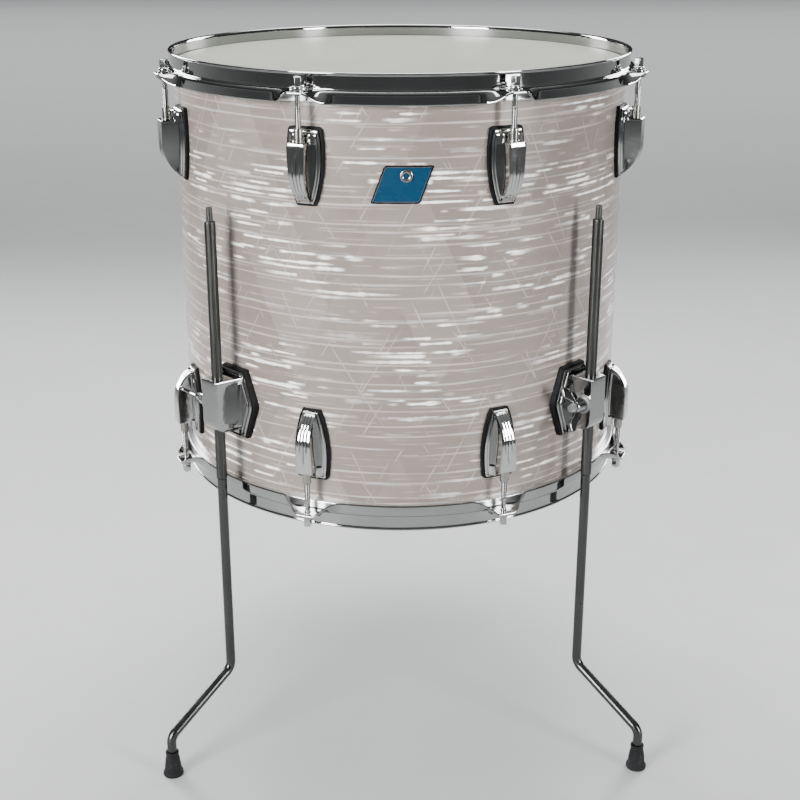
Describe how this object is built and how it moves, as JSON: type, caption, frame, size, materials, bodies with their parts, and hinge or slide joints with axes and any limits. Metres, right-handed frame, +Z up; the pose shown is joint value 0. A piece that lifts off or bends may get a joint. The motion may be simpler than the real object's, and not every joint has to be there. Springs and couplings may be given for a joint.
{
  "type": "floor tom drum",
  "caption": "Cylindrical tom tom drum covered in pale pearl, with chrome hoops, lugs and tension rods, standing on three adjustable bent legs with rubber feet.",
  "frame": {"origin": "on the floor, at the centre of the bounding box of the drum with its three legs; the drum's own axis is 48.9 mm in front of it (towards -Y)", "axes": "+Z up along the drum's axis towards the batter head, -Y towards the front with the name plate between the two front legs"},
  "size_m": [0.4928, 0.5908, 0.701],
  "materials": {
    "shell": "clear lacquered maple ply",
    "pearl": "pinkish white streaked pearl",
    "hoop_chrome": "mirror chrome on steel",
    "head_film": "coated white film",
    "flesh_aluminium": "mill aluminium",
    "casting_chrome": "mirror chrome on die casting",
    "rod_steel": "chromed steel",
    "nut_steel": "plated steel",
    "screw_steel": "zinc plated steel",
    "nylon": "natural nylon",
    "gasket_rubber": "moulded black rubber",
    "leg_steel": "knurled and plain plated steel",
    "foot_rubber": "moulded black rubber",
    "plate": "blank enamelled plate",
    "vent_metal": "bright plated grommet"
  },
  "bodies": {
    "drum": {"shell": "shell", "pearl_wrap": "pearl", "batter_head_film": "head_film", "resonant_head_film": "head_film", "batter_flesh_hoop": "flesh_aluminium", "resonant_flesh_hoop": "flesh_aluminium", "batter_lugs": "casting_chrome", "resonant_lugs": "casting_chrome", "leg_bracket_left": "casting_chrome", "leg_bracket_right": "casting_chrome", "leg_bracket_rear": "casting_chrome", "clamp_washers": "rod_steel", "batter_swivel_nuts": "nut_steel", "resonant_swivel_nuts": "nut_steel", "lug_screws": "screw_steel", "lug_washers": "screw_steel", "bracket_screws": "screw_steel", "bracket_washers": "screw_steel", "nut_retainers": "nylon", "batter_lug_gaskets": "gasket_rubber", "resonant_lug_gaskets": "gasket_rubber", "leg_bracket_gaskets": "gasket_rubber", "badge": "plate", "vent_grommet": "vent_metal"},
    "batter_hoop": {"batter_hoop": "hoop_chrome", "batter_rod_washers": "rod_steel"},
    "batter_rod_1": {"batter_tension_rod_1": "rod_steel"},
    "batter_rod_2": {"batter_tension_rod_2": "rod_steel"},
    "batter_rod_3": {"batter_tension_rod_3": "rod_steel"},
    "batter_rod_4": {"batter_tension_rod_4": "rod_steel"},
    "batter_rod_5": {"batter_tension_rod_5": "rod_steel"},
    "batter_rod_6": {"batter_tension_rod_6": "rod_steel"},
    "batter_rod_7": {"batter_tension_rod_7": "rod_steel"},
    "batter_rod_8": {"batter_tension_rod_8": "rod_steel"},
    "resonant_hoop": {"resonant_hoop": "hoop_chrome", "resonant_rod_washers": "rod_steel"},
    "resonant_rod_1": {"resonant_tension_rod_1": "rod_steel"},
    "resonant_rod_2": {"resonant_tension_rod_2": "rod_steel"},
    "resonant_rod_3": {"resonant_tension_rod_3": "rod_steel"},
    "resonant_rod_4": {"resonant_tension_rod_4": "rod_steel"},
    "resonant_rod_5": {"resonant_tension_rod_5": "rod_steel"},
    "resonant_rod_6": {"resonant_tension_rod_6": "rod_steel"},
    "resonant_rod_7": {"resonant_tension_rod_7": "rod_steel"},
    "resonant_rod_8": {"resonant_tension_rod_8": "rod_steel"},
    "leg_left": {"leg_left": "leg_steel", "rubber_foot_left": "foot_rubber"},
    "wing_nut_left": {"wing_nut_left": "casting_chrome"},
    "eyebolt_left": {"eyebolt_left": "casting_chrome"},
    "leg_right": {"leg_right": "leg_steel", "rubber_foot_right": "foot_rubber"},
    "wing_nut_right": {"wing_nut_right": "casting_chrome"},
    "eyebolt_right": {"eyebolt_right": "casting_chrome"},
    "leg_rear": {"leg_rear": "leg_steel", "rubber_foot_rear": "foot_rubber"},
    "wing_nut_rear": {"wing_nut_rear": "casting_chrome"},
    "eyebolt_rear": {"eyebolt_rear": "casting_chrome"}
  },
  "joints": [
    {"name": "batter_hoop_loosening", "type": "slide", "parent": "drum", "child": "batter_hoop", "axis": [0, 0, 1], "range_m": [0, 0.01]},
    {"name": "batter_rod_1_turn", "type": "hinge", "parent": "batter_hoop", "child": "batter_rod_1", "pos_m": [0.09376, -0.27528, 0.6884], "axis": [0, 0, 1], "range_deg": [0, 3402.6]},
    {"name": "batter_rod_2_turn", "type": "hinge", "parent": "batter_hoop", "child": "batter_rod_2", "pos_m": [0.22635, -0.14269, 0.6884], "axis": [0, 0, 1], "range_deg": [0, 3402.6]},
    {"name": "batter_rod_3_turn", "type": "hinge", "parent": "batter_hoop", "child": "batter_rod_3", "pos_m": [0.22635, 0.04483, 0.6884], "axis": [0, 0, 1], "range_deg": [0, 3402.6]},
    {"name": "batter_rod_4_turn", "type": "hinge", "parent": "batter_hoop", "child": "batter_rod_4", "pos_m": [0.09376, 0.17742, 0.6884], "axis": [0, 0, 1], "range_deg": [0, 3402.6]},
    {"name": "batter_rod_5_turn", "type": "hinge", "parent": "batter_hoop", "child": "batter_rod_5", "pos_m": [-0.09376, 0.17742, 0.6884], "axis": [0, 0, 1], "range_deg": [0, 3402.6]},
    {"name": "batter_rod_6_turn", "type": "hinge", "parent": "batter_hoop", "child": "batter_rod_6", "pos_m": [-0.22635, 0.04483, 0.6884], "axis": [0, 0, 1], "range_deg": [0, 3402.6]},
    {"name": "batter_rod_7_turn", "type": "hinge", "parent": "batter_hoop", "child": "batter_rod_7", "pos_m": [-0.22635, -0.14269, 0.6884], "axis": [0, 0, 1], "range_deg": [0, 3402.6]},
    {"name": "batter_rod_8_turn", "type": "hinge", "parent": "batter_hoop", "child": "batter_rod_8", "pos_m": [-0.09376, -0.27528, 0.6884], "axis": [0, 0, 1], "range_deg": [0, 3402.6]},
    {"name": "resonant_hoop_loosening", "type": "slide", "parent": "drum", "child": "resonant_hoop", "axis": [0, 0, -1], "range_m": [0, 0.01]},
    {"name": "resonant_rod_1_turn", "type": "hinge", "parent": "resonant_hoop", "child": "resonant_rod_1", "pos_m": [0.09376, -0.27528, 0.282], "axis": [0, 0, -1], "range_deg": [0, 3402.6]},
    {"name": "resonant_rod_2_turn", "type": "hinge", "parent": "resonant_hoop", "child": "resonant_rod_2", "pos_m": [0.22635, -0.14269, 0.282], "axis": [0, 0, -1], "range_deg": [0, 3402.6]},
    {"name": "resonant_rod_3_turn", "type": "hinge", "parent": "resonant_hoop", "child": "resonant_rod_3", "pos_m": [0.22635, 0.04483, 0.282], "axis": [0, 0, -1], "range_deg": [0, 3402.6]},
    {"name": "resonant_rod_4_turn", "type": "hinge", "parent": "resonant_hoop", "child": "resonant_rod_4", "pos_m": [0.09376, 0.17742, 0.282], "axis": [0, 0, -1], "range_deg": [0, 3402.6]},
    {"name": "resonant_rod_5_turn", "type": "hinge", "parent": "resonant_hoop", "child": "resonant_rod_5", "pos_m": [-0.09376, 0.17742, 0.282], "axis": [0, 0, -1], "range_deg": [0, 3402.6]},
    {"name": "resonant_rod_6_turn", "type": "hinge", "parent": "resonant_hoop", "child": "resonant_rod_6", "pos_m": [-0.22635, 0.04483, 0.282], "axis": [0, 0, -1], "range_deg": [0, 3402.6]},
    {"name": "resonant_rod_7_turn", "type": "hinge", "parent": "resonant_hoop", "child": "resonant_rod_7", "pos_m": [-0.22635, -0.14269, 0.282], "axis": [0, 0, -1], "range_deg": [0, 3402.6]},
    {"name": "resonant_rod_8_turn", "type": "hinge", "parent": "resonant_hoop", "child": "resonant_rod_8", "pos_m": [-0.09376, -0.27528, 0.282], "axis": [0, 0, -1], "range_deg": [0, 3402.6]},
    {"name": "leg_left_height", "type": "slide", "parent": "drum", "child": "leg_left", "axis": [0, 0, 1], "range_m": [-0.14, 0.24]},
    {"name": "wing_nut_left_turn", "type": "hinge", "parent": "drum", "child": "wing_nut_left", "pos_m": [-0.17968, -0.2286, 0.3807], "axis": [-0.7071, 0.7071, 0], "range_deg": [0, 540]},
    {"name": "eyebolt_left_slack", "type": "slide", "parent": "drum", "child": "eyebolt_left", "axis": [0.7071, -0.7071, 0], "range_m": [0, 0.0019]},
    {"name": "leg_right_height", "type": "slide", "parent": "drum", "child": "leg_right", "axis": [0, 0, 1], "range_m": [-0.14, 0.24]},
    {"name": "wing_nut_right_turn", "type": "hinge", "parent": "drum", "child": "wing_nut_right", "pos_m": [0.17968, -0.2286, 0.3807], "axis": [-0.7071, -0.7071, 0], "range_deg": [0, 540]},
    {"name": "eyebolt_right_slack", "type": "slide", "parent": "drum", "child": "eyebolt_right", "axis": [0.7071, 0.7071, 0], "range_m": [0, 0.0019]},
    {"name": "leg_rear_height", "type": "slide", "parent": "drum", "child": "leg_rear", "axis": [0, 0, 1], "range_m": [-0.14, 0.24]},
    {"name": "wing_nut_rear_turn", "type": "hinge", "parent": "drum", "child": "wing_nut_rear", "pos_m": [0, 0.20517, 0.3807], "axis": [1, 0, 0], "range_deg": [0, 540]},
    {"name": "eyebolt_rear_slack", "type": "slide", "parent": "drum", "child": "eyebolt_rear", "axis": [-1, 0, 0], "range_m": [0, 0.0019]}
  ],
  "couplings": [
    {"joint": "batter_rod_1_turn", "follows": "batter_hoop_loosening", "rad_per_m": 5936.9},
    {"joint": "batter_rod_2_turn", "follows": "batter_hoop_loosening", "rad_per_m": 5936.9},
    {"joint": "batter_rod_3_turn", "follows": "batter_hoop_loosening", "rad_per_m": 5936.9},
    {"joint": "batter_rod_4_turn", "follows": "batter_hoop_loosening", "rad_per_m": 5936.9},
    {"joint": "batter_rod_5_turn", "follows": "batter_hoop_loosening", "rad_per_m": 5936.9},
    {"joint": "batter_rod_6_turn", "follows": "batter_hoop_loosening", "rad_per_m": 5936.9},
    {"joint": "batter_rod_7_turn", "follows": "batter_hoop_loosening", "rad_per_m": 5936.9},
    {"joint": "batter_rod_8_turn", "follows": "batter_hoop_loosening", "rad_per_m": 5936.9},
    {"joint": "resonant_rod_1_turn", "follows": "resonant_hoop_loosening", "rad_per_m": 5936.9},
    {"joint": "resonant_rod_2_turn", "follows": "resonant_hoop_loosening", "rad_per_m": 5936.9},
    {"joint": "resonant_rod_3_turn", "follows": "resonant_hoop_loosening", "rad_per_m": 5936.9},
    {"joint": "resonant_rod_4_turn", "follows": "resonant_hoop_loosening", "rad_per_m": 5936.9},
    {"joint": "resonant_rod_5_turn", "follows": "resonant_hoop_loosening", "rad_per_m": 5936.9},
    {"joint": "resonant_rod_6_turn", "follows": "resonant_hoop_loosening", "rad_per_m": 5936.9},
    {"joint": "resonant_rod_7_turn", "follows": "resonant_hoop_loosening", "rad_per_m": 5936.9},
    {"joint": "resonant_rod_8_turn", "follows": "resonant_hoop_loosening", "rad_per_m": 5936.9},
    {"joint": "eyebolt_left_slack", "follows": "wing_nut_left_turn", "m_per_rad": 0.00019894},
    {"joint": "eyebolt_right_slack", "follows": "wing_nut_right_turn", "m_per_rad": 0.00019894},
    {"joint": "eyebolt_rear_slack", "follows": "wing_nut_rear_turn", "m_per_rad": 0.00019894}
  ]
}
